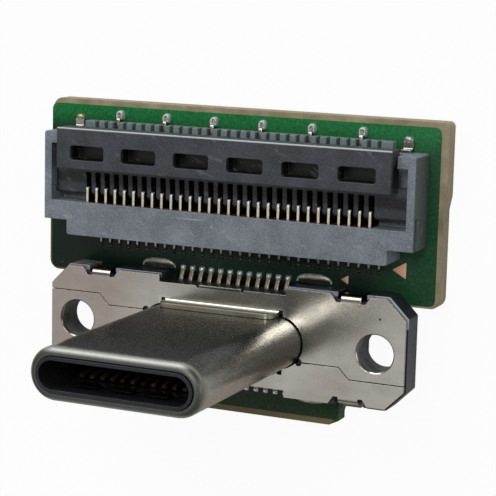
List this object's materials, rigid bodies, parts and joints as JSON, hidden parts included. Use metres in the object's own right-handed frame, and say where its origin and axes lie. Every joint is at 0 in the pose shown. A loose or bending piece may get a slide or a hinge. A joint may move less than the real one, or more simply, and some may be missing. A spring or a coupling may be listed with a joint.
{
  "type": "usb-c plug board with flat-cable connector",
  "caption": "Small circuit board with a long straight plug standing square to it in a screw-down sheet flange, and a flat-cable connector with a flip lock bar.",
  "frame": {"origin": "the plug's axis where it meets the plane of the circuit board's back face", "axes": "+Z is the way the plug points, square to the board; +X along the board's long side; +Y from the plug towards the flat-cable connector's mouth"},
  "size_m": [0.0206, 0.0147, 0.0131],
  "materials": {
    "solder_mask": "green solder mask over glass-fibre laminate",
    "bare_copper": "bare copper, satin",
    "flange_moulding": "dark moulded, satin",
    "flange_steel": "rolled stainless sheet, half bright",
    "plug_steel": "polished drawn stainless",
    "black_plastic": "satin",
    "gold_plate": "gold flash",
    "spring_steel": "bright",
    "housing_plastic": "blue-grey, satin",
    "lock_plastic": "charcoal, satin",
    "pale_gold": "pale gold over nickel",
    "solder": "bright solder"
  },
  "bodies": {
    "root": {"circuit_board": "solder_mask", "copper_marks": "bare_copper", "flange_body": "flange_moulding", "upper_flange": "flange_steel", "lower_flange": "flange_steel", "plug_tube": "plug_steel", "contact_carrier": "black_plastic", "plug_insulator": "black_plastic", "upper_plug_contacts": "gold_plate", "lower_plug_contacts": "gold_plate", "side_latches": "spring_steel", "upper_ground_spring": "spring_steel", "lower_ground_spring": "spring_steel", "cable_housing": "housing_plastic", "signal_contacts": "pale_gold", "mouth_pin_1": "pale_gold", "mouth_pin_2": "pale_gold", "mouth_pin_3": "pale_gold", "mouth_pin_4": "pale_gold", "mouth_pin_5": "pale_gold", "mouth_pin_6": "pale_gold", "left_hold_down": "solder", "right_hold_down": "solder", "plug_lead_solder": "solder", "contact_tail_solder": "solder", "pin_solder": "solder", "hold_down_solder": "solder", "foot_solder": "solder"},
    "lock_bar": {"cable_lock_bar": "lock_plastic"}
  },
  "joints": [
    {"name": "lock_bar_flip", "type": "hinge", "parent": "root", "child": "lock_bar", "pos_m": [0, 0.0063, 0.00195], "axis": [1, 0, 0], "range_deg": [0, 90]}
  ]
}
